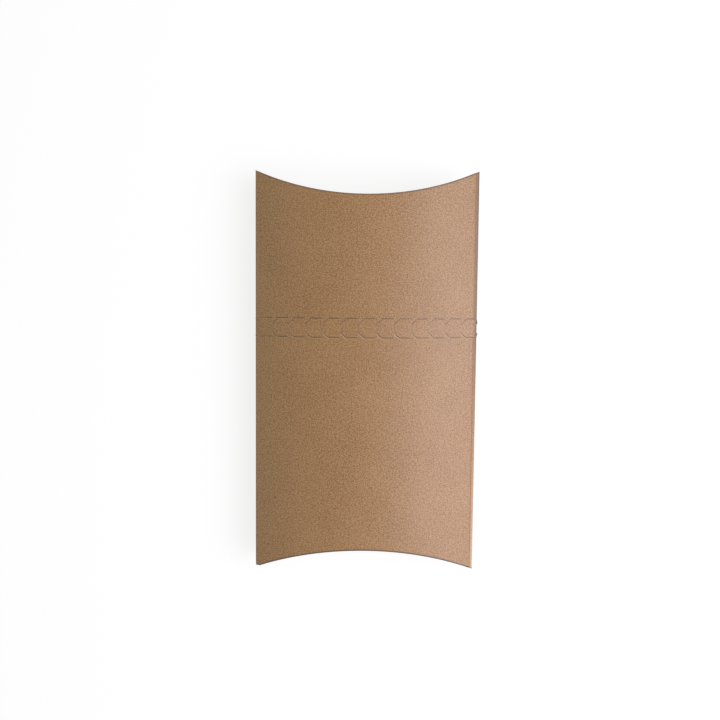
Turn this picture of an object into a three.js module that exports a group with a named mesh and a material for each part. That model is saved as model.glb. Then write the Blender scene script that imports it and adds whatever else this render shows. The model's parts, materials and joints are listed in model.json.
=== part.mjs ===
// A pillow pack for tacos, in kraft board: one sheet, creased, glued down one side, with a tear strip round it.
// Millimetres, +Z up. The box lies on its back: X runs across it, Y along it, and its plan centre is the origin.
// Front and back are two shallow arches that meet at the side folds. Each end is closed by two flaps on curved
// creases. A flap and the tear strip bend as they open, so they are divided into short stiff lengths.

import * as THREE from 'three';

// Driving sizes
const WIDTH = 120; // between the two side folds
const LENGTH = 215; // from corner tip to corner tip
const BULGE = 14; // rise of each face over the plane of the side folds
const BOARD = 0.5; // thickness of the board
const STRIP_WIDTH = 10; // between the two zip lines of the tear strip
const STRIP_Y = 24.4; // middle of the tear strip, from the middle of the box
const GLUE_FLAP_WIDTH = 15; // from the left fold to the glue flap's free edge
const GLUE_FLAP_TAPER = 0.4; // how fast the glue flap's ends slope in, per millimetre of its width
const GLUE_WIDTH = 7; // width of the glue line
const GLUE_FILM = 0.1; // thickness of the glue line
const GLUE_END_MARGIN = 8; // the glue stops this far short of the glue flap's ends
const SEAM_SETBACK = 1.9; // the front's cut left edge stays this far in from the fold
const INNER_FLAP_SHORT = 0.3; // the inner flaps stop this far short of the fold plane
const OUTER_FLAP_SHORT = 0.5; // the outer flaps stop this far short of the opposite crease
const CORNER_SETBACK = 4; // the flaps start this far in from the side folds

// Clearances
const FOLD_GAP = 0.3; // across the mitre of a side fold
const CREASE_GAP = 0.4; // from the line of a curved crease to the board on either side of it
const LAYER_GAP = 0.4; // between an outer and an inner end flap
const GLUE_GAP = 0.3; // between the glue flap and the front, with the glue line in it
const TEAR_GAP = 0.3; // across a zip line
const HINGE_GAP = 0.3; // between two neighbouring lengths of a flap or of the tear strip
const LEAF_TAPER = 0.036; // how fast a flap's leaf narrows on each side, for the swing
const NOTCH_CLEARANCE = 1; // from the tear strip to the glue flap

// Lengths that a flap and the front of the tear strip are divided into, and flat facets in each
const LEAVES = 7;
const FACETS_PER_LEAF = 3;

// The arch: a faceted circular arc, measured from its crown by the distance u along the board
const FACETS = LEAVES * FACETS_PER_LEAF;
const arcRadius = (WIDTH ** 2 / 4 + BULGE ** 2) / (2 * BULGE);
const arcHalfAngle = Math.asin(WIDTH / 2 / arcRadius);
const facetAngle = (2 * arcHalfAngle) / FACETS;
const facetWidth = 2 * arcRadius * Math.sin(facetAngle / 2);
const apothem = arcRadius * Math.cos(facetAngle / 2);
const halfGirth = (FACETS * facetWidth) / 2;
const edgeAngle = arcHalfAngle - facetAngle / 2;
const foldPlaneDepth = arcRadius - BULGE;

// Height of the fold plane, with the crown facet of the back lying on the ground
const MID = apothem + BOARD / 2 - foldPlaneDepth;

// Where the sheets lie against each other
const layerStep = BOARD + GLUE_GAP;
const seamDrop = layerStep / (2 * Math.cos(edgeAngle));
const innerSetback = BOARD + LAYER_GAP;
const stripHalf = (STRIP_WIDTH - TEAR_GAP) / 2;
const panelHalf = (STRIP_WIDTH + TEAR_GAP) / 2;

// Point of the arch at u, lifted off the middle of the board: x across, and rise over the fold plane
function archPoint(u, lift) {
  const facet = Math.min(Math.max(Math.floor((u + halfGirth) / facetWidth + 1e-9), 0), FACETS - 1);
  const angle = (facet + 0.5) * facetAngle - arcHalfAngle;
  const along = (u - (facet + 0.5) * facetWidth + halfGirth) * (1 + lift / apothem);
  return {
    x: (apothem + lift) * Math.sin(angle) + along * Math.cos(angle),
    rise: (apothem + lift) * Math.cos(angle) - along * Math.sin(angle) - foldPlaneDepth,
  };
}

const riseAt = (u) => archPoint(u, 0).rise;

// The u at which a sheet lifted off the arch comes down to the given rise, past its last corner
function reachOfRise(rise, lift) {
  const along = ((apothem + lift) * Math.cos(edgeAngle) - foldPlaneDepth - rise) / Math.sin(edgeAngle);
  return halfGirth - facetWidth / 2 + along / (1 + lift / apothem);
}

// Places on the box for a point of a sheet: u along the arch, v along the straight rulings, lift outwards
function onFront(u, v, lift) {
  const { x, rise } = archPoint(u, lift);
  return new THREE.Vector3(x, v, MID + rise);
}

function onBack(u, v, lift) {
  const { x, rise } = archPoint(u, lift);
  return new THREE.Vector3(x, v, MID - rise);
}

const onGlueFlap = (u, v, lift) => onFront(u, v, lift - layerStep);

// An end face is the arch laid flat: its rulings stand upright, and outwards is towards its hollow side
function onEnd(end, setback) {
  return (u, v, lift) => {
    const { x, rise } = archPoint(u, -lift);
    return new THREE.Vector3(x, end * (LENGTH / 2 - setback - rise), v);
  };
}

// Section across a sheet between two limits along its rulings, square or with a slanted side face
function section(place, low, high, uInner, uOuter = uInner, thickness = BOARD) {
  return [
    place(uInner, low(uInner), -thickness / 2),
    place(uInner, high(uInner), -thickness / 2),
    place(uOuter, high(uOuter), thickness / 2),
    place(uOuter, low(uOuter), thickness / 2),
  ];
}

// Section mitred on a side fold, where the sheet meets the plane at the given rise
function mitredSection(place, low, high, side, rise, baseLift = 0) {
  const inner = side * reachOfRise(rise, baseLift - BOARD / 2);
  const outer = side * reachOfRise(rise, baseLift + BOARD / 2);
  return section(place, low, high, inner, outer);
}

// Square sections at the arch's corners that lie between two places
function cornerSections(place, low, high, from, to, thickness = BOARD) {
  const corners = [];
  for (let k = 1; k < FACETS; k += 1) {
    const u = k * facetWidth - halfGirth;
    if (u > from && u < to) {
      corners.push(section(place, low, high, u, u, thickness));
    }
  }
  return corners;
}

// All sections of a sheet that is cut off square at both sides
function squareSections(place, low, high, from, to, thickness = BOARD) {
  return [
    section(place, low, high, from, from, thickness),
    ...cornerSections(place, low, high, from, to, thickness),
    section(place, low, high, to, to, thickness),
  ];
}

function signedVolume(points, index) {
  let sum = 0;
  for (let i = 0; i < index.length; i += 3) {
    const [a, b, c] = [points[index[i]], points[index[i + 1]], points[index[i + 2]]];
    sum += a.dot(b.clone().cross(c)) / 6;
  }
  return sum;
}

// Closed solid through four-cornered sections, with its faces turned outwards
function sheetGeometry(sections) {
  const points = sections.flat();
  const index = [];
  const quad = (a, b, c, d) => index.push(a, b, c, a, c, d);
  for (let i = 0; i + 1 < sections.length; i += 1) {
    for (let corner = 0; corner < 4; corner += 1) {
      const next = (corner + 1) % 4;
      quad(4 * i + corner, 4 * i + next, 4 * i + 4 + next, 4 * i + 4 + corner);
    }
  }
  const last = points.length - 4;
  quad(3, 2, 1, 0);
  quad(last, last + 1, last + 2, last + 3);
  if (signedVolume(points, index) < 0) {
    index.reverse();
  }
  const geometry = new THREE.BufferGeometry().setFromPoints(points);
  geometry.setIndex(index);
  geometry.computeVertexNormals();
  return geometry;
}

const box = new THREE.Group();

function kraftBoard() {
  return new THREE.MeshStandardMaterial({ color: 0xa58463, roughness: 0.85, metalness: 0 });
}

function driedGlue() {
  return new THREE.MeshStandardMaterial({ color: 0xd9cfb8, roughness: 0.4, metalness: 0 });
}

function addSheet(name, sections, material = kraftBoard()) {
  const mesh = new THREE.Mesh(sheetGeometry(sections), material);
  mesh.name = name;
  box.add(mesh);
}

// Each half's limits along Y: its curved end, and its straight edge at the tear strip
function halfLimits(end, setback) {
  const curved = (u) => end * (LENGTH / 2 - setback - CREASE_GAP - riseAt(u));
  const straight = () => STRIP_Y + end * panelHalf;
  return end > 0 ? [straight, curved] : [curved, straight];
}

function addFrontPanel(name, end) {
  const [low, high] = halfLimits(end, 0);
  const cutEdge = SEAM_SETBACK - halfGirth;
  addSheet(name, [
    section(onFront, low, high, cutEdge),
    ...cornerSections(onFront, low, high, cutEdge, halfGirth),
    mitredSection(onFront, low, high, 1, FOLD_GAP / 2),
  ]);
}

function addBackPanel(name, end) {
  const [low, high] = halfLimits(end, innerSetback);
  addSheet(name, [
    mitredSection(onBack, low, high, -1, seamDrop + FOLD_GAP / 2),
    ...cornerSections(onBack, low, high, -halfGirth, halfGirth),
    mitredSection(onBack, low, high, 1, FOLD_GAP / 2),
  ]);
}

// The glue flap hangs on the back panel's left fold, lies inside the front, and slopes in at its ends
function glueFlapLimits(end, margin) {
  const curved = (u) => {
    const slope = GLUE_FLAP_TAPER * (u + halfGirth);
    return end * (LENGTH / 2 - innerSetback - CREASE_GAP - margin - riseAt(u) - slope);
  };
  const straight = () => STRIP_Y + end * (panelHalf + NOTCH_CLEARANCE + margin);
  return end > 0 ? [straight, curved] : [curved, straight];
}

function addGlueFlap(name, end) {
  const [low, high] = glueFlapLimits(end, 0);
  const freeEdge = GLUE_FLAP_WIDTH - halfGirth;
  addSheet(name, [
    mitredSection(onGlueFlap, low, high, -1, FOLD_GAP / 2 - seamDrop, -layerStep),
    ...cornerSections(onGlueFlap, low, high, -halfGirth, freeEdge),
    section(onGlueFlap, low, high, freeEdge),
  ]);
}

function addGlueLine(name, end) {
  const onGlue = (u, v, lift) => onFront(u, v, lift - layerStep / 2);
  const [low, high] = glueFlapLimits(end, GLUE_END_MARGIN);
  const middle = GLUE_FLAP_WIDTH / 2 + SEAM_SETBACK / 2 - halfGirth;
  const from = middle - GLUE_WIDTH / 2;
  const to = middle + GLUE_WIDTH / 2;
  addSheet(name, squareSections(onGlue, low, high, from, to, GLUE_FILM), driedGlue());
}

// Tear strip: stiff lengths across the front, from the right fold to the pull end, and one across the back
const leafEdge = (k) => k * FACETS_PER_LEAF * facetWidth - halfGirth;
const stripLow = () => STRIP_Y - stripHalf;
const stripHigh = () => STRIP_Y + stripHalf;

// At the right fold both stop square, where their inner faces would meet, so that the front can swing right out
const stripFoldEnd = reachOfRise(FOLD_GAP / 2, -BOARD / 2);

function addFrontStrip(name, leaf) {
  const from = leaf === 0 ? SEAM_SETBACK - halfGirth : leafEdge(leaf) + HINGE_GAP / 2;
  const to = leaf === LEAVES - 1 ? stripFoldEnd : leafEdge(leaf + 1) - HINGE_GAP / 2;
  addSheet(name, squareSections(onFront, stripLow, stripHigh, from, to));
}

function addBackStrip(name) {
  addSheet(name, [
    mitredSection(onBack, stripLow, stripHigh, -1, seamDrop + FOLD_GAP / 2),
    ...cornerSections(onBack, stripLow, stripHigh, -halfGirth, stripFoldEnd),
    section(onBack, stripLow, stripHigh, stripFoldEnd),
  ]);
}

// Side of a leaf: it leans in from the crease to the free edge, away from its neighbour
function leafSide(place, crease, free, edge, inwards) {
  const atCrease = edge + (inwards * HINGE_GAP) / 2;
  const atFree = atCrease + inwards * LEAF_TAPER * Math.abs(free(edge) - crease(edge));
  return [
    place(atCrease, crease(atCrease), -BOARD / 2),
    place(atFree, free(atFree), -BOARD / 2),
    place(atFree, free(atFree), BOARD / 2),
    place(atCrease, crease(atCrease), BOARD / 2),
  ];
}

// One leaf of an end flap, between its crease and its free edge
function addLeaf(name, place, crease, free, leaf) {
  const corner = halfGirth - CORNER_SETBACK;
  const from = leafEdge(leaf);
  const to = leafEdge(leaf + 1);
  const first = leaf === 0;
  const last = leaf === LEAVES - 1;
  const start = first ? -corner : from;
  const stop = last ? corner : to;
  addSheet(name, [
    first ? section(place, crease, free, start) : leafSide(place, crease, free, start, 1),
    ...cornerSections(place, crease, free, start + HINGE_GAP, stop - HINGE_GAP),
    last ? section(place, crease, free, stop) : leafSide(place, crease, free, stop, -1),
  ]);
}

// The outer flap hangs from the front over the whole end. The inner flap stands on the back, half as deep.
function addEndFlaps(name, end) {
  const outerCrease = (u) => MID + riseAt(u) - CREASE_GAP;
  const outerFree = (u) => MID - riseAt(u) + OUTER_FLAP_SHORT;
  const innerCrease = (u) => MID - riseAt(u) + CREASE_GAP;
  const innerFree = () => MID - INNER_FLAP_SHORT;
  for (let leaf = 0; leaf < LEAVES; leaf += 1) {
    addLeaf(`${name}_outer_flap_${leaf + 1}`, onEnd(end, 0), outerCrease, outerFree, leaf);
    addLeaf(`${name}_inner_flap_${leaf + 1}`, onEnd(end, innerSetback), innerCrease, innerFree, leaf);
  }
}

for (const [half, end] of [['lower', -1], ['upper', 1]]) {
  addFrontPanel(`${half}_front_panel`, end);
  addBackPanel(`${half}_back_panel`, end);
  addGlueFlap(`${half}_glue_flap`, end);
  addGlueLine(`${half}_glue_line`, end);
}

addFrontStrip('pull_tab', 0);
for (let leaf = 1; leaf < LEAVES; leaf += 1) {
  addFrontStrip(`tear_strip_front_${leaf}`, leaf);
}
addBackStrip('tear_strip_back');

addEndFlaps('top', 1);
addEndFlaps('bottom', -1);

// The two side folds differ by the seam's layers, so the box is moved to stand evenly about the origin
const extent = new THREE.Box3().setFromObject(box);
box.position.x = -(extent.min.x + extent.max.x) / 2;

export default box;
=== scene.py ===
# %% [markdown]
# # A taco box in kraft board
# The object is a pillow pack: one sheet of plain brown board with two arched faces, glued down its left
# side. Curved creases close both ends, and a tear strip between two zip lines runs round it.
# The imported CAD model is loaded first. It gives the moving bodies that most pieces made below ride on.

# %% Load the frame
import json
import math
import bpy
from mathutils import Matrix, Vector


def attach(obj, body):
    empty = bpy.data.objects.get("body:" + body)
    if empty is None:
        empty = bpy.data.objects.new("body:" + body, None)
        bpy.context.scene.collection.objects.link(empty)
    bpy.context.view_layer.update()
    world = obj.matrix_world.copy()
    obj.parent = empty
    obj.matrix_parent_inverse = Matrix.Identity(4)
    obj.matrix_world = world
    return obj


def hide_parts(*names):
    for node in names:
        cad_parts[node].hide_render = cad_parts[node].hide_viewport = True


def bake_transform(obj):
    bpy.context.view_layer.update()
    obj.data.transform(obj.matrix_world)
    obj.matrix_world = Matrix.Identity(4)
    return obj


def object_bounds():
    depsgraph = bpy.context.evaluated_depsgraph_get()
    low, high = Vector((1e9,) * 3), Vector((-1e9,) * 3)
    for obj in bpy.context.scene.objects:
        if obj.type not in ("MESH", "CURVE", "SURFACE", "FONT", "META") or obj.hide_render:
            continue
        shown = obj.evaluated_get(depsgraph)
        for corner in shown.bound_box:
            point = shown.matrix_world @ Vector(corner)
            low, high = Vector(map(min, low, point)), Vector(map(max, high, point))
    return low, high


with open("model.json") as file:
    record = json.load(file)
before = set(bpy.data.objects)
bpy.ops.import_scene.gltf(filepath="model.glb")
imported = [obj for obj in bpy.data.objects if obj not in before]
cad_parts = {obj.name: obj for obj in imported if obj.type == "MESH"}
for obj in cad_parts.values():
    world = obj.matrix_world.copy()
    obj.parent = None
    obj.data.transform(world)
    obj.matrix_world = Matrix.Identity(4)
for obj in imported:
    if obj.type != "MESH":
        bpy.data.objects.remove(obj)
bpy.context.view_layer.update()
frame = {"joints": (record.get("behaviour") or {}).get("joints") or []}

from types import SimpleNamespace

import bpy

scene = bpy.context.scene
scene.view_settings.view_transform = "Standard"

# %% [markdown]
# ## Camera
# The photograph looks almost straight down on the box from about 47 cm. The lens and the small turns below
# come from fitting the box's corners and arcs to their places in the picture. A camera in Blender looks
# down its own -Z, so a camera over a table needs almost no turn at all.

# %% Camera
MM = 0.001
IMAGE_SIDE = 720
SENSOR = 36
FOCAL_PIXELS = 850.1
CAMERA_PLACE = (-4.4 * MM, 42.9 * MM, 470 * MM)
CAMERA_TURN = (-4.52, -0.12, 0.51)
NEAREST_SEEN = 10 * MM

camera_data = bpy.data.cameras.new("photo_camera")
camera_data.sensor_width = SENSOR
camera_data.lens = FOCAL_PIXELS / IMAGE_SIDE * SENSOR
camera_data.clip_start = NEAREST_SEEN
camera = bpy.data.objects.new("photo_camera", camera_data)
camera.location = CAMERA_PLACE
camera.rotation_euler = [math.radians(angle) for angle in CAMERA_TURN]
scene.collection.objects.link(camera)
scene.camera = camera
print(f"lens {camera_data.lens:.1f} mm")

# %% [markdown]
# ## Sizes of the box
# The same sizes drive the CAD model. Every sheet of the box is a part of one shape, a shallow circular
# arch, so its radius is worked out once. A place on a sheet is given by how far it lies along the board
# from the crown of the arch, and how far along the straight lines, or rulings, that run down the arch.

# %% Sizes
WIDTH = 120 * MM
LENGTH = 215 * MM
BULGE = 14 * MM
BOARD = 0.5 * MM
STRIP_WIDTH = 10 * MM
STRIP_Y = 24.4 * MM
SEAM_SETBACK = 1.9 * MM
LAYER_STEP = 0.8 * MM
INNER_SETBACK = 0.9 * MM
LEAVES = 7

ARCH_RADIUS = (WIDTH**2 / 4 + BULGE**2) / (2 * BULGE)
FOLD_DEPTH = ARCH_RADIUS - BULGE
HALF_GIRTH = ARCH_RADIUS * math.asin(WIDTH / 2 / ARCH_RADIUS)
LEAF_WIDTH = 2 * HALF_GIRTH / LEAVES

hinge_at = {joint["name"]: joint.get("pos_m") for joint in frame["joints"]}
MIDDLE_X = hinge_at["tear_strip_peel"][0] - WIDTH / 2
MIDDLE_Z = hinge_at["tear_strip_peel"][2]
print(f"arch radius {ARCH_RADIUS / MM:.2f} mm, fold plane {MIDDLE_Z / MM:.2f} mm up")

# %% [markdown]
# ## Wires: node maths written as Python
# A long formula is hard to read as a web of Math nodes. This small class wraps one output socket of a node
# tree. Arithmetic on it adds the Math nodes, and its one method `node` adds any other node. It serves the
# geometry tree and the materials alike.

# %% Wire class
class Wire:
    """An output socket of a node tree. Arithmetic on wires adds Math nodes to the tree."""

    def __init__(self, tree, socket=None):
        self.tree = tree
        self.socket = socket

    def node(self, kind, settings=None, values=None, output=0):
        made = self.tree.nodes.new(kind)
        for name, value in (settings or {}).items():
            if name == "stops":
                fill_ramp(made.color_ramp, value)
            else:
                setattr(made, name, value)
        for name, value in (values or {}).items():
            if isinstance(value, Wire):
                self.tree.links.new(value.socket, made.inputs[name])
            else:
                made.inputs[name].default_value = value
        return Wire(self.tree, made.outputs[output] if made.outputs else None)

    def other(self, output):
        return Wire(self.tree, self.socket.node.outputs[output])

    def math(self, operation, *values):
        return self.node("ShaderNodeMath", {"operation": operation}, dict(enumerate(values)))

    def __add__(self, other):
        return self.math("ADD", self, other)

    def __radd__(self, other):
        return self.math("ADD", other, self)

    def __sub__(self, other):
        return self.math("SUBTRACT", self, other)

    def __rsub__(self, other):
        return self.math("SUBTRACT", other, self)

    def __mul__(self, other):
        return self.math("MULTIPLY", self, other)

    def __rmul__(self, other):
        return self.math("MULTIPLY", other, self)

    def __truediv__(self, other):
        return self.math("DIVIDE", self, other)

    def __pow__(self, other):
        return self.math("POWER", self, other)

    def __abs__(self):
        return self.math("ABSOLUTE", self)

    def least(self, other):
        return self.math("MINIMUM", self, other)

    def most(self, other):
        return self.math("MAXIMUM", self, other)

    def limited(self):
        return self.most(0).least(1)

    def sine(self):
        return self.math("SINE", self)

    def cosine(self):
        return self.math("COSINE", self)

    def bell(self, centre, spread):
        """1 where this wire equals centre, falling off smoothly over spread."""
        distance = (self - centre) / spread
        return self.math("EXPONENT", distance * distance * -1)


def fill_ramp(ramp, stops):
    while len(ramp.elements) < len(stops):
        ramp.elements.new(1)
    for element, (place, colour) in zip(ramp.elements, stops):
        element.position = place
        element.color = (*colour, 1)


# %% [markdown]
# ## Folds
# A side fold in real board isn't a sharp line: the board turns over a small radius. The arch is followed
# down to the angle where that round begins, and the round then carries on until the board stands upright,
# where the sheet on the other side of the fold meets it. Both numbers follow from the arch, so they are
# worked out here. At the seam the flap lies one layer inside the front, so its fold sits about half a layer
# lower.

# %% Folds
FOLD_RADIUS = 0.45 * MM
EDGE_ANGLE = math.acos(FOLD_DEPTH / ARCH_RADIUS)
SEAM_DROP = LAYER_STEP / (2 * math.cos(EDGE_ANGLE))
NO_FOLD = math.pi


def fold_start(level=0.0, lift=0.0):
    """Angle round the arch where a fold's round begins, for a fold at that level over the fold plane."""
    return math.acos((FOLD_DEPTH + level) / (ARCH_RADIUS + lift - FOLD_RADIUS))


def fold_middle(level=0.0, lift=0.0):
    """Distance along the board from the crown to where the board stands upright in the fold."""
    start = fold_start(level, lift)
    return (ARCH_RADIUS + lift) * start + FOLD_RADIUS * (math.pi / 2 - start)


print(f"right fold {fold_middle() / MM:.2f} mm from the crown along the board")

# %% [markdown]
# ## A common grid of columns
# Two sheets that meet along a zip line have to follow the same cut exactly, or slits of light would show
# between them. So the columns of every such sheet lie on one grid, counted from the right fold and fine
# enough for a hook.

# %% Common grid
ZIP_PITCH = 9.3 * MM
COLUMNS_PER_HOOK = 60
COLUMN_STEP = ZIP_PITCH / COLUMNS_PER_HOOK


def on_grid(u):
    """The nearest column of the grid to a place along the board."""
    return fold_middle() - round((fold_middle() - u) / COLUMN_STEP) * COLUMN_STEP


def between(first, last):
    """The sizes of a sheet that runs from one column of the grid to another."""
    start = on_grid(first)
    stop = on_grid(last)
    return {"From": start, "To": stop, "Columns": round((stop - start) / COLUMN_STEP)}


FRONT_START = on_grid(SEAM_SETBACK - HALF_GIRTH)
BACK_START = on_grid(-fold_middle(SEAM_DROP) - COLUMN_STEP / 2)
BACK_END = on_grid(ARCH_RADIUS * fold_start())
print("columns across the front:", between(FRONT_START, fold_middle())["Columns"])

# %% [markdown]
# ## One rule for every sheet
# Panels, strip, flaps and glue flaps could each be modelled by hand, but they are all cut from the same
# arch and differ only in their edges. So one Geometry Nodes tree bends a flat grid by a rule, with a named
# input for each size. Its columns run across the arch, and its rows run from the near edge, which may curl
# round an end crease, to the far edge, which may have the hooks of a zip line.

# %% Inputs of the sheet tree
SHEET_FLOATS = {
    "From": 0.0, "To": 0.0, "Crowding": 0.0,
    "Layer Radius": ARCH_RADIUS, "Fold Depth": FOLD_DEPTH, "Fold Radius": FOLD_RADIUS,
    "Left Fold Angle": NO_FOLD, "Right Fold Angle": NO_FOLD,
    "Near Start": 0.0, "Near Rise Share": 0.0, "Near Taper": 0.0, "Near Tooth": 0.0, "Near Gap": 0.0,
    "Corner Cut": 0.0,
    "Far Start": 0.0, "Far Rise Share": 0.0, "Far Tooth": 0.0, "Far Gap": 0.0,
    "Curl Radius": 0.0, "Curl Share": 0.0, "Curl Side": 1.0, "Curl Turn": -1.0,
    "Zip Direction": 1.0, "Zip Phase": 0.0, "Cut Start": -1.0, "Tip Lift": 0.0,
    # the line, hook, fold and crease inputs below set painted light and shade: over 0 a painted highlight,
    # under 0 painted shade
    "Near Line Wear": 0.0, "Near Hook Wear": 0.0, "Far Line Wear": 0.0, "Far Hook Wear": 0.0,
    "Score Depth": 0.0, "Fold Wear": 0.0, "Fold Paling": 0.0, "Crease Wear": 0.0, "Grain Offset": 0.0,
}
SHEET_WHOLE = {"Columns": 24, "Rows": 12}
SHEET_VECTORS = {"Origin": (0, 0, 0), "Ruling": (0, 1, 0), "Rise Axis": (0, 0, 1)}


def add_inputs(tree, names, socket_type):
    for name in names:
        tree.interface.new_socket(name=name, in_out="INPUT", socket_type=socket_type)


print("sizes of a sheet:", len(SHEET_FLOATS), "lengths, angles and shares,", len(SHEET_WHOLE), "counts")

# %% [markdown]
# ## The zip line
# Each zip line is a row of J-shaped cuts: a straight run along the line, and at its start a hook that runs
# into the strip. Between two cuts the board holds by a small nick. The cuts could be drawn with a texture,
# but then nothing would part when the strip is torn out. Here the edge itself follows the cuts, and a hair
# of space is left along each of them, closing to nothing at the nicks. The painted light and shade beside
# the hooks differs from hook to hook and is weakest on the first ones, so each hook gets its own number
# from a noise that is the same in every run.

# %% Zip rule
PHASE_SHIFT = 3.5 * COLUMN_STEP
FRONT_PHASE = fold_middle() - PHASE_SHIFT
BACK_PHASE = fold_middle() + PHASE_SHIFT
HOOK_REACH = 3.6 * MM
HOOK_CURVE = 1.6
NICK = 0.35 * MM
CUT_RAMP = 10 * MM
HOOK_RAMP = 60 * MM
LEAST_LIGHT_STRENGTH = 0.7
LIGHT_STRENGTH_SPREAD = 0.7


def zip_rule(size, u):
    """How far a hook goes in, how open its cut is and how strong its painted light and shade are, at u
    along the board.
    """
    travel = (u - size("Zip Phase")) * size("Zip Direction")
    along = u.math("FLOORED_MODULO", travel, ZIP_PITCH)
    hook = (1 - along / HOOK_REACH).most(0) ** HOOK_CURVE
    from_nick = along.least(ZIP_PITCH - along)
    begun = u - size("Cut Start")
    opening = (from_nick / NICK).limited() * (begun / CUT_RAMP).limited()
    number = u.math("FLOOR", travel / ZIP_PITCH)
    chance = u.node("ShaderNodeTexWhiteNoise", {"noise_dimensions": "1D"}, {"W": number})
    # how strong the painted highlights and painted shade are at this hook
    light_strength = (LEAST_LIGHT_STRENGTH + LIGHT_STRENGTH_SPREAD * chance) * (begun / HOOK_RAMP).limited()
    return SimpleNamespace(hook=hook, opening=opening, light_strength=light_strength)


print("hooks across the front:", round((fold_middle() - FRONT_START) / ZIP_PITCH))

# %% [markdown]
# ## The arch
# The rule gives the place across the box, the rise over the fold plane and the angle that the board leans
# at. Past the fold's angle the small radius takes over from the large one.

# %% Arch rule
def arch_rule(size, u):
    on_right = u.math("GREATER_THAN", u, 0)
    fold_angle = size("Left Fold Angle") * (1 - on_right) + size("Right Fold Angle") * on_right
    before_fold = fold_angle * size("Layer Radius") - abs(u)
    angle = (abs(u) / size("Layer Radius")).least(fold_angle)
    turn = (before_fold * -1).most(0) / size("Fold Radius")
    lean = angle + turn
    x = size("Layer Radius") * angle.sine() + size("Fold Radius") * (lean.sine() - angle.sine())
    top = size("Layer Radius") * angle.cosine() + size("Fold Radius") * (lean.cosine() - angle.cosine())
    return SimpleNamespace(
        side=u.math("SIGN", u), x=x, rise=top - size("Fold Depth"), lean=lean,
        before_fold=before_fold, turn=turn)


print(f"the board leans {math.degrees(EDGE_ANGLE):.1f} degrees where it meets a fold")

# %% [markdown]
# ## Edges and creases
# Along each ruling the sheet runs from its near edge to its far edge. Either may follow the curve of an
# end crease or the hooks of a zip line, and a corner may be cut off. At an end crease the board turns over
# a small radius too. The panel makes the first half of that turn and the flap the second, so each of them
# has a short curl of 45 degrees along its near edge.

# %% Ruling rule
HOOK_WIDENING = 0.5
CORNER_RUN = 2.6 * MM
CURL_ANGLE = math.radians(45)
ROW_CROWDING = 0.97
LEAST_TOOTH_SQUARED = 1e-12


def crowd(share, amount):
    """Spreads 0 to 1 unevenly, with closer steps at both ends."""
    return share - (share * (2 * math.pi)).sine() * amount * (1 / (2 * math.pi))


def edges_rule(size, u, arch, cut):
    """Where the near and the far edge lie on the ruling at u."""
    gap = cut.opening * (1 + cut.hook * HOOK_WIDENING)
    from_left = u - size("From")
    near = size("Near Start") + size("Near Rise Share") * arch.rise + size("Near Taper") * from_left
    near = near + size("Near Tooth") * cut.hook + size("Near Gap") * gap
    near = near + size("Corner Cut") * (1 - from_left / CORNER_RUN).most(0)
    far = size("Far Start") + size("Far Rise Share") * arch.rise
    far = far + size("Far Tooth") * cut.hook + size("Far Gap") * gap
    return near, far


def ruling_rule(size, u, row, arch, cut):
    """Where a row lies on the ruling at u, how far its curl drops, and how far out on a hook it is."""
    near, far = edges_rule(size, u, arch, cut)
    has_curl = row.math("GREATER_THAN", size("Curl Share"), 0)
    curl = (1 - row / size("Curl Share")).limited() * has_curl * CURL_ANGLE
    straight = ((row - size("Curl Share")) / (1 - size("Curl Share"))).limited()
    curl_reach = size("Curl Side") * size("Curl Radius")
    begin = near - curl_reach
    v = begin + (far - begin) * crowd(straight, ROW_CROWDING) + curl_reach * curl.sine()
    curl_drop = size("Curl Turn") * size("Curl Radius") * (1 - curl.cosine())
    tooth = size("Far Tooth")
    on_hook = ((v - size("Far Start")) * tooth / (tooth ** 2 + LEAST_TOOTH_SQUARED)).limited()
    return SimpleNamespace(near=near, far=far, v=v, has_curl=has_curl, curl_drop=curl_drop, on_hook=on_hook)


print(f"each sheet curls {math.degrees(CURL_ANGLE):.0f} degrees at a crease")

# %% [markdown]
# ## Painted light and shade
# Over 0 this value is a painted highlight that makes the board paler, and under 0 it is painted shade that
# makes it darker. It sits at folds, creases and cuts, so it is worked out from the same distances as the
# shape, and the material only has to read it. Painting it by hand would not follow a change of size.

# %% Painted light rule
FOLD_BAND = 2.8 * MM
CREASE_BAND = 0.95 * MM
CREASE_FADE = 0.6 * MM
CUT_BAND = 0.45 * MM
CUT_REACH = 1.4
HOOK_GAIN = 6


def painted_light_rule(size, arch, cut, place):
    # painted shade along the folds; on the lower front it turns into a painted highlight away from the
    # strip, and hook tips in a fold get painted shade
    at_fold = (1 - arch.before_fold / FOLD_BAND).limited() ** 2
    fold_light = size("Fold Wear") + size("Fold Paling") * abs(place.v - size("Far Start"))
    fold_light = (fold_light - place.on_hook * arch.turn.limited()).most(-1).least(1)
    at_crease = ((CREASE_BAND - abs(place.v - place.near)) / CREASE_FADE).limited() * place.has_curl
    painted_light = at_fold * fold_light + at_crease * size("Crease Wear")
    # painted shade along the cuts, and painted highlights or painted shade beside the hooks
    at_hook = (cut.hook * HOOK_GAIN).limited()
    for name, edge in (("Near", place.near), ("Far", place.far)):
        at_cut = (CUT_REACH - abs(place.v - edge) / CUT_BAND).limited() * cut.opening * (1 - at_fold)
        line_light = size(f"{name} Line Wear")
        hook_light = size(f"{name} Hook Wear") * cut.light_strength
        painted_light = painted_light + at_cut * (line_light + (hook_light - line_light) * at_hook)
    return painted_light


print(f"painted light reaches {FOLD_BAND / MM:.1f} mm from a fold and {CREASE_BAND / MM:.2f} mm from a crease")

# %% [markdown]
# ## The tree itself
# The grid's own place, from 0 to 1 both ways, becomes a place on the board, and the rules above say where
# that lies in the box. The tree also stores two attributes for the material: the place on the flat board,
# so that the grain follows the sheet round every bend, and the marks, which are painted light and shade and
# the scores.

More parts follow.
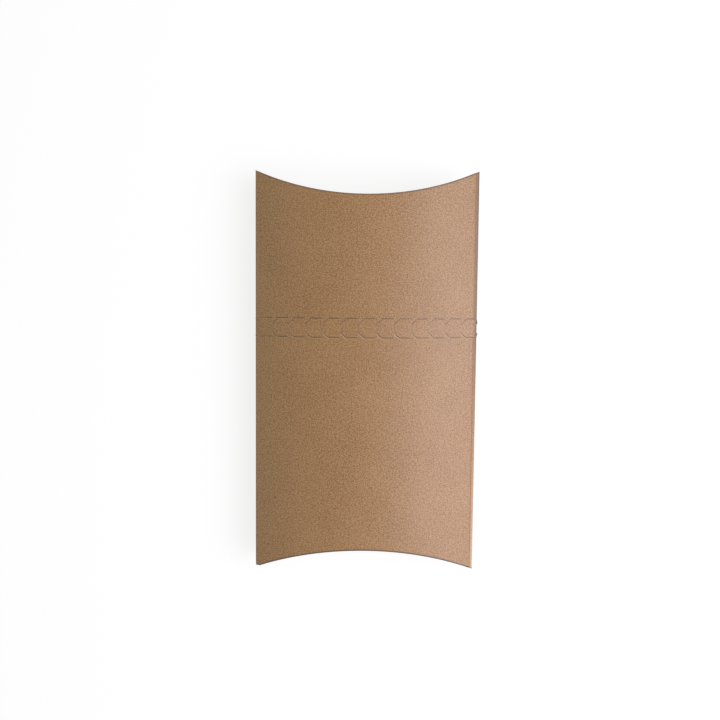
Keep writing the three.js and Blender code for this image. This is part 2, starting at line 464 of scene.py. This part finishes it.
# %% Sheet tree
SCORE_INSET = 1.4 * MM
SCORE_SPREAD = 0.35 * MM
LEAST_SCORE = 1e-9
GRID_MIDDLE = 0.5


def new_sheet_tree():
    tree = bpy.data.node_groups.new("bent board sheet", "GeometryNodeTree")
    tree.is_modifier = True
    tree.interface.new_socket(name="Sheet", in_out="OUTPUT", socket_type="NodeSocketGeometry")
    add_inputs(tree, SHEET_FLOATS, "NodeSocketFloat")
    add_inputs(tree, SHEET_WHOLE, "NodeSocketInt")
    add_inputs(tree, SHEET_VECTORS, "NodeSocketVector")
    add_inputs(tree, ["Board"], "NodeSocketMaterial")
    return tree


def vector(start, x, y=0.0, z=0.0):
    return start.node("ShaderNodeCombineXYZ", values={"X": x, "Y": y, "Z": z})


def scaled(axis, amount):
    return axis.node("ShaderNodeVectorMath", {"operation": "SCALE"}, {"Vector": axis, "Scale": amount})


def together(first, second):
    return first.node("ShaderNodeVectorMath", {"operation": "ADD"}, {0: first, 1: second})


def bend_rule(size, column, row):
    """The place in the box of a point of the grid, its place on the flat board, and its marks."""
    u = size("From") + (size("To") - size("From")) * crowd(column, size("Crowding"))
    arch = arch_rule(size, u)
    cut = zip_rule(size, u)
    place = ruling_rule(size, u, row, arch, cut)
    score = arch.before_fold.bell(SCORE_INSET, SCORE_SPREAD)
    lift = place.on_hook * size("Tip Lift") * arch.turn.limited() - size("Score Depth") * score
    x = arch.side * (arch.x + lift * arch.lean.sine())
    height = arch.rise + lift * arch.lean.cosine() + place.curl_drop
    level = together(size("Origin"), vector(u, x))
    point = together(level, together(scaled(size("Ruling"), place.v), scaled(size("Rise Axis"), height)))
    scored = score * size("Score Depth") / (size("Score Depth") + LEAST_SCORE)
    marks = vector(u, painted_light_rule(size, arch, cut, place), scored)
    return point, vector(u, u, place.v, size("Grain Offset")), marks


def sheet_tree():
    tree = new_sheet_tree()
    given = tree.nodes.new("NodeGroupInput")
    start = Wire(tree)

    def size(name):
        return Wire(tree, given.outputs[name])

    grid = start.node("GeometryNodeMeshGrid", values={
        "Size X": 1.0, "Size Y": 1.0, "Vertices X": size("Columns") + 1, "Vertices Y": size("Rows") + 1})
    position = start.node("GeometryNodeInputPosition")
    across = start.node("ShaderNodeSeparateXYZ", values={"Vector": position})
    point, flat_place, marks = bend_rule(size, across + GRID_MIDDLE, across.other("Y") + GRID_MIDDLE)

    # the attributes are stored before the points move, because they read the flat grid
    sheet = grid
    for label, value in (("board_place", flat_place), ("board_marks", marks)):
        sheet = start.node(
            "GeometryNodeStoreNamedAttribute", {"data_type": "FLOAT_VECTOR", "domain": "POINT"},
            {"Geometry": sheet, "Name": label, "Value": value})
    sheet = start.node("GeometryNodeSetPosition", values={"Geometry": sheet, "Position": point})
    sheet = start.node("GeometryNodeRealizeInstances", values={"Geometry": sheet})
    sheet = start.node("GeometryNodeSetMaterial", values={"Geometry": sheet, "Material": size("Board")})
    result = tree.nodes.new("NodeGroupOutput")
    tree.links.new(sheet.socket, result.inputs["Sheet"])
    return tree


SHEET = sheet_tree()
SHEET_IDS = {item.name: item.identifier for item in SHEET.interface.items_tree if item.in_out == "INPUT"}
print("sheet tree:", len(SHEET.nodes), "nodes,", len(SHEET_IDS), "inputs")

# %% [markdown]
# ## Helpers for finishes
# A finish could be a painted image, but an image has one size and has to be kept beside the model. Here
# noise at several scales gives the colour, the roughness and the small bumps alike, so that the three
# agree. These helpers are what the finishes below share.

# %% Finish helpers
SHEEN = 0.75


def new_material(name):
    material = bpy.data.materials.new(name)
    material.use_nodes = True
    tree = material.node_tree
    tree.nodes.clear()
    return material, Wire(tree)


def noise(start, place, scale, detail=2.0, roughness=0.5):
    return start.node("ShaderNodeTexNoise", values={
        "Vector": place, "Scale": scale, "Detail": detail, "Roughness": roughness})


def tones(start, stops, value):
    return start.node("ShaderNodeValToRGB", {"stops": stops}, {"Fac": value})


def blend_colour(start, share, first, second):
    """A mix of two colours. A Mix node has sockets of one name for each type, so they go by number."""
    return start.node(
        "ShaderNodeMix", {"data_type": "RGBA"}, {0: share, 6: first, 7: (*second, 1)}, output=2)


def finish_surface(start, colour, roughness, height):
    """A dull surface with bumps of the given height in metres."""
    normal = start.node("ShaderNodeBump", values={"Strength": 1.0, "Distance": 1.0, "Height": height})
    surface = start.node("ShaderNodeBsdfPrincipled", values={
        "Base Color": colour, "Roughness": roughness, "Normal": normal, "Specular IOR Level": SHEEN})
    start.node("ShaderNodeOutputMaterial", values={"Surface": surface})


# %% [markdown]
# ## Fibres and specks
# Unbleached board is made of long fibres, and single ones show as thin pale or dark streaks. A streak is
# noise that is stretched in one direction and kept only along its ridges. Bits of bark show as dark
# specks. A speck is the middle of a cell of a Voronoi pattern, in a few of the cells only.

# %% Fibres and specks
FIBRE_ACROSS = 1500
FIBRE_ALONG = 170
FIBRE_RIDGE = 0.93
SPECK_SCALE = 60
SPECK_SIZE = 0.034
SPECK_SHARE = 0.09
SPECK_EDGE = 3


def fibres(start, place, degrees):
    """Thin streaks of noise in one direction of the board."""
    turned = start.node("ShaderNodeMapping", values={
        "Vector": place, "Rotation": (0, 0, math.radians(degrees)),
        "Scale": (FIBRE_ACROSS, FIBRE_ALONG, 1)})
    ridge = 1 - abs(noise(start, turned, 1.0, detail=1.0) * 2 - 1)
    return ((ridge - FIBRE_RIDGE) / (1 - FIBRE_RIDGE)).limited()


def specks(start, place):
    """Small round specks of uneven strength, in a small share of the cells of a pattern."""
    cells = start.node(
        "ShaderNodeTexVoronoi", {"voronoi_dimensions": "2D"}, {"Vector": place, "Scale": SPECK_SCALE})
    chosen = start.node("ShaderNodeSeparateColor", values={"Color": cells.other("Color")})
    dot = ((1 - cells / SPECK_SIZE) * SPECK_EDGE).limited()
    return dot * start.math("LESS_THAN", chosen, SPECK_SHARE) * chosen.other("Green")


print(f"specks up to {2 * SPECK_SIZE / SPECK_SCALE / MM:.1f} mm across")

# %% [markdown]
# ## Kraft board
# The board's brown is cloudy over a few centimetres and speckled under a millimetre. A single colour would
# look like plastic. The finish is built in layers of noise, read on the place of the flat board that the
# sheet tree stored, so that the fibres run with the board. The grain of the real board changes its
# brightness and hardly its hue, so in a finished picture the dark and the pale tone lie about equally far
# from the middle one in red, green and blue. On top of that, painted highlights make parts of folds and
# cuts paler, and painted shade darkens folds, creases, cuts and scores.

# %% Kraft board
KRAFT_DARK = (0.234, 0.095, 0.015)
KRAFT_MID = (0.370, 0.190, 0.061)
KRAFT_PALE = (0.512, 0.309, 0.131)
# pale fibres, and also the colour of painted highlights
FIBRE_AND_HIGHLIGHT_PALE = (0.640, 0.450, 0.300)
# dark specks, and also the colour of painted shade
SPECK_AND_SHADE_DARK = (0.080, 0.042, 0.020)
KRAFT_TONES = [(0.2, KRAFT_DARK), (0.5, KRAFT_MID), (0.85, KRAFT_PALE)]
MIDDLE_TONE = 0.5
CLOUD = {"scale": 38, "detail": 2.0}
MOTTLE = {"scale": 950, "detail": 4.0, "roughness": 0.7}
GRAIN = {"scale": 2100, "detail": 2.0}
CLOUD_CONTRAST = 0.4
MOTTLE_CONTRAST = 2.2
GRAIN_CONTRAST = 3.8
FIBRE_TURNS = (8, -32, 61)
PALE_FIBRES = 0.45
DARK_FIBRES = 0.25
# how much of a painted highlight shows, varied by the mottle
HIGHLIGHT_BASE = 0.6
# strength of the painted shade in the scores
SCORE_SHADE = 0.85
BOARD_ROUGHNESS = 0.42
MOTTLE_ROUGHNESS = 0.08
HIGHLIGHT_ROUGHNESS = 0.1
GRAIN_HEIGHT = 0.026 * MM
MOTTLE_BUMP = 0.6
GRAIN_BUMP = 0.5
FIBRE_BUMP = 0.5


def kraft_board():
    material, start = new_material("kraft board")
    place = start.node("ShaderNodeAttribute", {"attribute_name": "board_place"}, output="Vector")
    marks = start.node("ShaderNodeAttribute", {"attribute_name": "board_marks"}, output="Vector")
    painted_light = start.node("ShaderNodeSeparateXYZ", values={"Vector": marks})
    score = painted_light.other("Y")

    cloud = noise(start, place, **CLOUD)
    mottle = noise(start, place, **MOTTLE)
    grain = noise(start, place, **GRAIN)
    tone = MIDDLE_TONE + (cloud - MIDDLE_TONE) * CLOUD_CONTRAST
    tone = tone + (mottle - MIDDLE_TONE) * MOTTLE_CONTRAST + (grain - MIDDLE_TONE) * GRAIN_CONTRAST
    colour = tones(start, KRAFT_TONES, tone)

    streaks = [fibres(start, place, turn) for turn in FIBRE_TURNS]
    pale = streaks[0].most(streaks[1])
    # painted highlight where the marks are over 0, painted shade where they are under 0
    painted_highlight = (painted_light * (HIGHLIGHT_BASE + mottle)).limited()
    painted_shade = (painted_light * -1).limited()
    layers = (
        (pale * PALE_FIBRES, KRAFT_PALE),
        (streaks[2] * DARK_FIBRES, KRAFT_DARK),
        (specks(start, place), SPECK_AND_SHADE_DARK),
        # the last three layers are painted highlight, painted shade and painted shade in the scores
        (painted_highlight, FIBRE_AND_HIGHLIGHT_PALE),
        (painted_shade, SPECK_AND_SHADE_DARK),
        (score * SCORE_SHADE, KRAFT_DARK),
    )
    for share, layer in layers:
        colour = blend_colour(start, share, colour, layer)

    roughness = BOARD_ROUGHNESS + (mottle - MIDDLE_TONE) * MOTTLE_ROUGHNESS + painted_highlight * HIGHLIGHT_ROUGHNESS
    height = (mottle * MOTTLE_BUMP + grain * GRAIN_BUMP + pale * FIBRE_BUMP) * GRAIN_HEIGHT
    finish_surface(start, colour, roughness, height)
    return material


KRAFT = kraft_board()
print("kraft board:", len(KRAFT.node_tree.nodes), "nodes")

# %% [markdown]
# ## Cut edge and glue
# A cut through the board shows its plies: paler, and mottled finely where the knife tore the fibres. The
# glue is a thin dried film, smoother than the board. Both are plain variations on the recipe above.

# %% Cut edge and glue materials
EDGE_TONES = [(0.25, KRAFT_DARK), (0.55, KRAFT_MID), (0.9, FIBRE_AND_HIGHLIGHT_PALE)]
PLIES = {"scale": 2600, "detail": 2.0}
FUZZ = {"scale": 700, "detail": 3.0}
EDGE_ROUGHNESS = 0.7
FUZZ_ROUGHNESS = 0.25
PLY_HEIGHT = 0.02 * MM
GLUE_TONES = [(0.3, (0.62, 0.53, 0.38)), (0.7, (0.75, 0.69, 0.55))]
RIPPLE = {"scale": 180, "detail": 2.0}
GLUE_ROUGHNESS = 0.3
RIPPLE_ROUGHNESS = 0.2
RIPPLE_HEIGHT = 0.03 * MM


def cut_edge():
    material, start = new_material("cut edge")
    place = start.node("ShaderNodeTexCoord", output="Object")
    plies = noise(start, place, **PLIES)
    fuzz = noise(start, place, **FUZZ)
    colour = tones(start, EDGE_TONES, (plies + fuzz) / 2)
    finish_surface(start, colour, EDGE_ROUGHNESS + fuzz * FUZZ_ROUGHNESS, plies * PLY_HEIGHT)
    return material


def dried_glue():
    material, start = new_material("dried glue")
    place = start.node("ShaderNodeTexCoord", output="Object")
    ripple = noise(start, place, **RIPPLE)
    colour = tones(start, GLUE_TONES, ripple)
    finish_surface(start, colour, GLUE_ROUGHNESS + ripple * RIPPLE_ROUGHNESS, ripple * RIPPLE_HEIGHT)
    return material


CUT_EDGE = cut_edge()
GLUE = dried_glue()
print("cut edge:", len(CUT_EDGE.node_tree.nodes), "nodes, glue:", len(GLUE.node_tree.nodes), "nodes")

# %% [markdown]
# ## From the tree to a piece
# A modifier's inputs are set by the identifiers of its sockets, because two sockets may share a name.
# Solidify then gives the sheet its thickness, half to each side, and puts the cut-edge material on the
# rim. The evaluated result becomes a plain mesh at the origin, and the helper object is removed.

# %% Sheet maker
SMOOTH_BELOW = math.radians(38)


def bent_mesh(name, sizes, board, thickness):
    helper = bpy.data.objects.new(name + "_helper", bpy.data.meshes.new(name + "_helper"))
    scene.collection.objects.link(helper)
    helper.data.materials.append(board)
    helper.data.materials.append(CUT_EDGE)
    bend = helper.modifiers.new("bend", "NODES")
    bend.node_group = SHEET
    chosen = {**SHEET_FLOATS, **SHEET_WHOLE, **SHEET_VECTORS, "Board": board, **sizes}
    for label, value in chosen.items():
        bend[SHEET_IDS[label]] = value
    wall = helper.modifiers.new("wall", "SOLIDIFY")
    wall.thickness = thickness
    wall.offset = 0
    wall.material_offset_rim = 1
    depsgraph = bpy.context.evaluated_depsgraph_get()
    evaluated = helper.evaluated_get(depsgraph)
    mesh = bpy.data.meshes.new_from_object(evaluated, preserve_all_data_layers=True, depsgraph=depsgraph)
    bpy.data.objects.remove(helper)
    return mesh


def make_sheet(name, sizes, board=KRAFT, thickness=BOARD):
    mesh = bent_mesh(name, sizes, board, thickness)
    mesh.name = name
    mesh.materials.clear()
    mesh.materials.append(board)
    mesh.materials.append(CUT_EDGE)
    mesh.shade_smooth()
    mesh.set_sharp_from_angle(angle=SMOOTH_BELOW)
    piece = bpy.data.objects.new(name, mesh)
    scene.collection.objects.link(piece)
    return piece


print(f"bends under {math.degrees(SMOOTH_BELOW):.0f} degrees are shaded smooth")

# %% [markdown]
# ## Where sheets lie
# A sheet is bent in the same way wherever it is: front, back and ends differ only in which way its rulings
# run and which way it rises. On an end the arch lies flat, so its rise points into the box and its rulings
# stand up. The front, the back and the ends each read another part of the grain.

# %% Places
BACK_GRAIN = 0.4
END_GRAIN = 0.8
FRONT = {"Origin": (MIDDLE_X, 0, MIDDLE_Z), "Zip Phase": FRONT_PHASE, "Cut Start": FRONT_START}
BACK = {
    "Origin": (MIDDLE_X, 0, MIDDLE_Z), "Rise Axis": (0, 0, -1),
    "Zip Phase": BACK_PHASE, "Zip Direction": -1.0, "Grain Offset": BACK_GRAIN,
}


def end_place(end, setback):
    return {
        "Origin": (MIDDLE_X, end * (LENGTH / 2 - setback), MIDDLE_Z),
        "Ruling": (0, 0, 1),
        "Rise Axis": (0, -end, 0),
        "Grain Offset": END_GRAIN,
    }


print(f"middle of the box at x {MIDDLE_X / MM:.2f} mm, z {MIDDLE_Z / MM:.2f} mm")

# %% [markdown]
# ## Front and back panels
# The tear strip divides the front and the back into a lower and an upper panel. Each runs from a curved
# end crease, where it curls half way round, to its zip line. The front's left edge is a raw cut, set a
# little way in from the fold, and its right edge goes into the fold. Both edges of the back go into folds.
# On the real box the bottom left corner is cut off. The right fold gets painted shade near the strip and,
# on the lower front, a painted highlight towards the bottom.

# %% Panels
PANEL_ROWS = 36
CURL_ROWS = 5
CREASE_RADIUS = 0.5 * MM
HOOK_DEPTH = 3.1 * MM
FRONT_CUT = 0.13 * MM
BACK_CUT = 0.02 * MM
TIP_LIFT = 0.75 * MM
SCORE_DEPTH = 0.10 * MM
# painted shade along the right fold
FOLD_PAINTED_SHADE = -0.85
FRONT_CORNER_CUT = 0.7 * MM
BACK_CORNER_CUT = 1.5 * MM
LOWER_END = -1
UPPER_END = 1
# painted light along the zip cuts: over 0 a painted highlight, under 0 painted shade
CUT_MARKS = {
    LOWER_END: {"Far Line Wear": 0.25, "Far Hook Wear": 0.9},
    UPPER_END: {"Far Line Wear": -0.6, "Far Hook Wear": 0.2},
}


def panel_sizes(end, setback, cut):
    return {
        "Rows": PANEL_ROWS,
        "Near Start": end * (LENGTH / 2 - setback), "Near Rise Share": -end,
        "Far Start": STRIP_Y + end * STRIP_WIDTH / 2,
        "Far Tooth": -end * HOOK_DEPTH, "Far Gap": end * cut / 2,
        "Curl Radius": CREASE_RADIUS, "Curl Share": CURL_ROWS / PANEL_ROWS,
        "Curl Side": end, "Curl Turn": -1.0,
        "Tip Lift": TIP_LIFT,
        "Right Fold Angle": fold_start(), "Score Depth": SCORE_DEPTH,
        **CUT_MARKS[end],
    }


def make_panels(half, end, fold_highlight, crease_shade, front_cut, back_cut):
    front = make_sheet(f"{half}_front", {
        **panel_sizes(end, 0, FRONT_CUT), **FRONT, **between(FRONT_START, fold_middle()),
        "Fold Wear": FOLD_PAINTED_SHADE, "Fold Paling": fold_highlight, "Crease Wear": crease_shade,
        "Corner Cut": -end * front_cut})
    back = make_sheet(f"{half}_back", {
        **panel_sizes(end, INNER_SETBACK, BACK_CUT), **BACK, **between(BACK_START, fold_middle()),
        "Left Fold Angle": fold_start(SEAM_DROP), "Crease Wear": crease_shade,
        "Corner Cut": -end * back_cut})
    for piece, node in ((front, "front_panel"), (back, "back_panel")):
        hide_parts(f"{half}_{node}")
        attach(piece, f"{half}_half")
        print(piece.name, len(piece.data.polygons), "faces")


# the lower front's fold gets a painted highlight growing away from the strip, and the creases get painted
# shade
make_panels(
    "lower", LOWER_END, fold_highlight=15, crease_shade=-1.0,
    front_cut=FRONT_CORNER_CUT, back_cut=BACK_CORNER_CUT)
make_panels("upper", UPPER_END, fold_highlight=0, crease_shade=-0.4, front_cut=0, back_cut=0)

# %% [markdown]
# ## Glue flaps and glue lines
# The back panel carries a narrow flap on its left fold. It lies inside the front, one layer in, and its
# ends slope so that it goes in easily. A line of glue between the two sheets holds the seam. Both show only
# when the box is open, but then they explain how it is made. The flap's columns crowd towards its sides,
# because the fold needs them there.

# %% Glue flaps
GLUE_FLAP_WIDTH = 15 * MM
GLUE_FLAP_TAPER = 0.4
GLUE_WIDTH = 7 * MM
GLUE_FILM = 0.1 * MM
GLUE_END_MARGIN = 8 * MM
GLUE_SLOPE_MARGIN = 2 * MM
NOTCH_CLEARANCE = 1 * MM
FLAP_LIFT = -LAYER_STEP
GLUE_LIFT = -LAYER_STEP / 2
# painted shade along the seam's fold
SEAM_PAINTED_SHADE = -0.8
SEAM_FLAP_COLUMNS = 60
SEAM_LAYER = {
    **FRONT, "Layer Radius": ARCH_RADIUS + FLAP_LIFT,
    "Left Fold Angle": fold_start(-SEAM_DROP, FLAP_LIFT), "From": -fold_middle(-SEAM_DROP, FLAP_LIFT),
    "Crowding": 0.5, "Fold Wear": SEAM_PAINTED_SHADE, "Grain Offset": BACK_GRAIN,
}


def make_seam(half, end, corner_cut):
    zip_edge = STRIP_Y + end * (STRIP_WIDTH / 2 + NOTCH_CLEARANCE)
    end_edge = end * (LENGTH / 2 - INNER_SETBACK)
    slope = {"Near Rise Share": -end, "Near Taper": -end * GLUE_FLAP_TAPER}
    flap = make_sheet(f"{half}_seam_flap", {
        **SEAM_LAYER, **slope, "Columns": SEAM_FLAP_COLUMNS, "To": GLUE_FLAP_WIDTH - HALF_GIRTH,
        "Near Start": end_edge, "Corner Cut": -end * corner_cut, "Far Start": zip_edge})
    middle = (GLUE_FLAP_WIDTH + SEAM_SETBACK) / 2 - HALF_GIRTH
    line = make_sheet(f"{half}_seam_glue", {
        **FRONT, **slope, "Layer Radius": ARCH_RADIUS + GLUE_LIFT,
        "From": middle - GLUE_WIDTH / 2, "To": middle + GLUE_WIDTH / 2,
        "Near Start": end_edge - end * (GLUE_END_MARGIN + GLUE_SLOPE_MARGIN),
        "Far Start": zip_edge + end * GLUE_END_MARGIN}, GLUE, GLUE_FILM)
    for piece, node, slot in ((flap, "glue_flap", "kraft_board"), (line, "glue_line", "glue")):
        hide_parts(f"{half}_{node}")
        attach(piece, f"{half}_half")
        print(piece.name, len(piece.data.polygons), "faces")


make_seam("lower", LOWER_END, BACK_CORNER_CUT)
make_seam("upper", UPPER_END, 0)

# %% [markdown]
# ## Tear strip
# The strip is one ribbon of board with the counterpart of the panels' hooks on both edges. The CAD model
# divides its front into seven stiff lengths. Stiff looks would break at each joint as it peels, so the
# ribbon is cut at the middle of each length instead. The functions below give those middles, where they lie
# on the arch, and the bodies that the lengths belong to.

# %% Strip sizes
STRIP_ROWS = 16


def strip_sizes(cut):
    half = STRIP_WIDTH / 2
    return {
        "Rows": STRIP_ROWS,
        "Near Start": STRIP_Y + half, "Near Tooth": -HOOK_DEPTH, "Near Gap": -cut / 2,
        "Far Start": STRIP_Y - half, "Far Tooth": HOOK_DEPTH, "Far Gap": cut / 2,
        # painted shade along the strip's cuts and hooks, with a faint painted highlight on its near
        # straight runs
        "Near Line Wear": 0.15, "Near Hook Wear": -0.55, "Far Line Wear": -0.6, "Far Hook Wear": -1.0,
    }


def leaf_middle(leaf):
    """Distance along the board from the crown to the middle of one of the seven lengths."""
    return (leaf + 0.5) * LEAF_WIDTH - HALF_GIRTH


def strip_body(leaf):
    return f"tear_strip_front_{leaf}" if leaf else "pull_tab"


print(f"lengths of the strip: {LEAF_WIDTH / MM:.2f} mm each")

# %% [markdown]
# ## Strip across the front
# The pull end rides on the first length alone. Every other piece is made between the middles of two lengths
# and stays where it was made. The last one takes in the right fold.

# %% Front of the strip
def make_pull_end():
    piece = make_sheet("strip_pull_end", {
        **strip_sizes(FRONT_CUT), **FRONT, **between(FRONT_START, leaf_middle(0))})
    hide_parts(strip_body(0))
    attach(piece, strip_body(0))


def make_strip_span(leaf):
    piece = make_sheet(f"strip_span_{leaf}", {
        **strip_sizes(FRONT_CUT), **FRONT, **between(leaf_middle(leaf - 1), leaf_middle(leaf))})
    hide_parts(strip_body(leaf))
    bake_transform(piece)


def make_fold_span():
    last = LEAVES - 1
    piece = make_sheet("strip_fold_span", {
        **strip_sizes(FRONT_CUT), **FRONT, **between(leaf_middle(last), 2 * fold_middle() - BACK_END),
        # the fold gets painted shade
        "Right Fold Angle": fold_start(), "Fold Wear": FOLD_PAINTED_SHADE})
    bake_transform(piece)


make_pull_end()
for leaf in range(1, LEAVES):
    make_strip_span(leaf)
make_fold_span()
print("strip across the front: pull end,", LEAVES - 1, "spans and the fold")

# %% [markdown]
# ## Strip across the back
# The back of the strip is one piece between its two folds. On the left it carries its own share of the glue
# flap, a narrow tab under the pull end. Without it the left fold would have a slit where the strip crosses.

# %% Back of the strip
SEAM_TAB_WIDTH = 5 * MM
SEAM_TAB_COLUMNS = 40
SEAM_TAB_ROWS = 8


def make_back_strip():
    piece = make_sheet("strip_back", {
        **strip_sizes(BACK_CUT), **BACK, **between(BACK_START, BACK_END),
        "Left Fold Angle": fold_start(SEAM_DROP)})
    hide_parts("tear_strip_back")
    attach(piece, "tear_strip_back")
    print(piece.name, len(piece.data.polygons), "faces")


def make_seam_tab():
    half = STRIP_WIDTH / 2
    piece = make_sheet("strip_seam_tab", {
        **SEAM_LAYER, "Columns": SEAM_TAB_COLUMNS, "Rows": SEAM_TAB_ROWS,
        "To": SEAM_TAB_WIDTH - HALF_GIRTH, "Near Start": STRIP_Y + half, "Far Start": STRIP_Y - half})
    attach(piece, "tear_strip_back")
    print(piece.name, len(piece.data.polygons), "faces")


make_back_strip()
make_seam_tab()

# %% [markdown]
# ## End flaps
# An end flap hangs on a curved crease, so it can only open by bending. Its seven leaves each turn about
# their own piece of the crease. Their sides follow the straight rulings, so that they close up without a
# gap when the flap is shut. The outer flap covers the end, and the inner one stands behind it.

# %% Flap leaves
CORNER_INSET = 2.5 * MM
CUT_CORNER_INSET = 3.6 * MM
OUTER_FLAP_SHORT = 0.5 * MM
INNER_FLAP_SHORT = 0.3 * MM
LEAF_COLUMNS = 30
LEAF_ROWS = 16
# painted shade along the flaps' creases
LEAF_PAINTED_SHADE = -0.8
OUTER_EDGES = {
    "Near Rise Share": 1.0, "Curl Side": 1.0, "Far Start": OUTER_FLAP_SHORT, "Far Rise Share": -1.0}
INNER_EDGES = {"Near Rise Share": -1.0, "Curl Side": -1.0, "Far Start": -INNER_FLAP_SHORT}


def leaf_sizes(leaf, left_inset):
    return {
        "Columns": LEAF_COLUMNS, "Rows": LEAF_ROWS,
        "Curl Share": CURL_ROWS / LEAF_ROWS, "Curl Radius": CREASE_RADIUS, "Curl Turn": 1.0,
        "Crease Wear": LEAF_PAINTED_SHADE,
        "From": max(left_inset, leaf * LEAF_WIDTH) - HALF_GIRTH,
        "To": min(2 * HALF_GIRTH - CORNER_INSET, (leaf + 1) * LEAF_WIDTH) - HALF_GIRTH,
    }


def make_flap(end_name, end, left_inset, layer, edges, setback):
    for leaf in range(LEAVES):
        node = f"{end_name}_{layer}_flap_{leaf + 1}"
        piece = make_sheet(f"{end_name}_{layer}_leaf_{leaf + 1}", {
            **leaf_sizes(leaf, left_inset), **edges, **end_place(end, setback)})
        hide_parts(node)
        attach(piece, node)
    print(f"{end_name} {layer} flap:", LEAVES, "leaves")


ENDS = (("top", UPPER_END, CORNER_INSET), ("bottom", LOWER_END, CUT_CORNER_INSET))
for end_name, end, left_inset in ENDS:
    make_flap(end_name, end, left_inset, "outer", OUTER_EDGES, 0)
    make_flap(end_name, end, left_inset, "inner", INNER_EDGES, INNER_SETBACK)

# %% [markdown]
# ## Floor and background
# The photograph's background is plain white. A white floor alone would look grey under plain light, so it
# glows a little, but only for rays that come from the camera or a reflection. It doesn't light the box, and
# the box's soft shadow stays on it.

# %% Floor and world
FLOOR_SIZE = 6.0
FLOOR_GLOW = 0.80
FLOOR_GREY = 0.31
AMBIENT = 0.31
ROOM_COLOUR = (0.98, 1.0, 0.89)


def seen_directly(start):
    path = start.node("ShaderNodeLightPath")
    return path.most(path.other("Is Glossy Ray")).most(path.other("Is Transmission Ray"))


def white_floor():
    material, start = new_material("white floor")
    matt = start.node("ShaderNodeBsdfDiffuse", values={"Color": (FLOOR_GREY, FLOOR_GREY, FLOOR_GREY, 1)})
    glow = start.node("ShaderNodeEmission", values={"Strength": seen_directly(start) * FLOOR_GLOW})
    both = start.node("ShaderNodeAddShader", values={0: matt, 1: glow})
    start.node("ShaderNodeOutputMaterial", values={"Surface": both})
    return material


def make_floor(height):
    half = FLOOR_SIZE / 2
    mesh = bpy.data.meshes.new("floor")
    corners = [(-half, -half, height), (half, -half, height), (half, half, height), (-half, half, height)]
    mesh.from_pydata(corners, [], [(0, 1, 2, 3)])
    mesh.materials.append(white_floor())
    floor = bpy.data.objects.new("floor", mesh)
    scene.collection.objects.link(floor)


def make_world():
    world = bpy.data.worlds.new("white room")
    world.use_nodes = True
    world.node_tree.nodes.clear()
    start = Wire(world.node_tree)
    seen = seen_directly(start)
    room = start.node("ShaderNodeBackground", values={"Color": (*ROOM_COLOUR, 1), "Strength": AMBIENT})
    white = start.node("ShaderNodeBackground", values={"Color": (1, 1, 1, 1)})
    sky = start.node("ShaderNodeMixShader", values={0: seen, 1: room, 2: white})
    start.node("ShaderNodeOutputWorld", values={"Surface": sky})
    scene.world = world


lowest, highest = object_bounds()
floor_height = min(0.0, lowest.z)
make_floor(floor_height)
make_world()
print(f"the box stands {(highest.z - floor_height) / MM:.2f} mm over the floor")

# %% [markdown]
# ## Light
# In the photograph the light comes from the right: the right half of the front is pale and the left half is
# a darker olive brown. One large soft lamp on the right does that, a weaker and cooler one lights the far
# end, and the pale room fills in the left half. Large lamps have soft shadows, as in a studio.

# %% Lamps
LAMP_SIZE = 0.9


def add_lamp(name, place, power, colour):
    data = bpy.data.lights.new(name, "AREA")
    data.shape = "DISK"
    data.size = LAMP_SIZE
    data.energy = power
    data.color = colour
    lamp = bpy.data.objects.new(name, data)
    lamp.location = place
    direction = -lamp.location
    lamp.rotation_euler = direction.to_track_quat("-Z", "Y").to_euler()
    scene.collection.objects.link(lamp)
    print(f"{name} {direction.length:.2f} m away, {power} W")


add_lamp("right_lamp", place=(0.63, -0.19, 0.63), power=5.8, colour=(0.96, 0.86, 1.0))
add_lamp("far_lamp", place=(0.72, 0.32, 0.50), power=2.1, colour=(0.75, 0.85, 1.0))
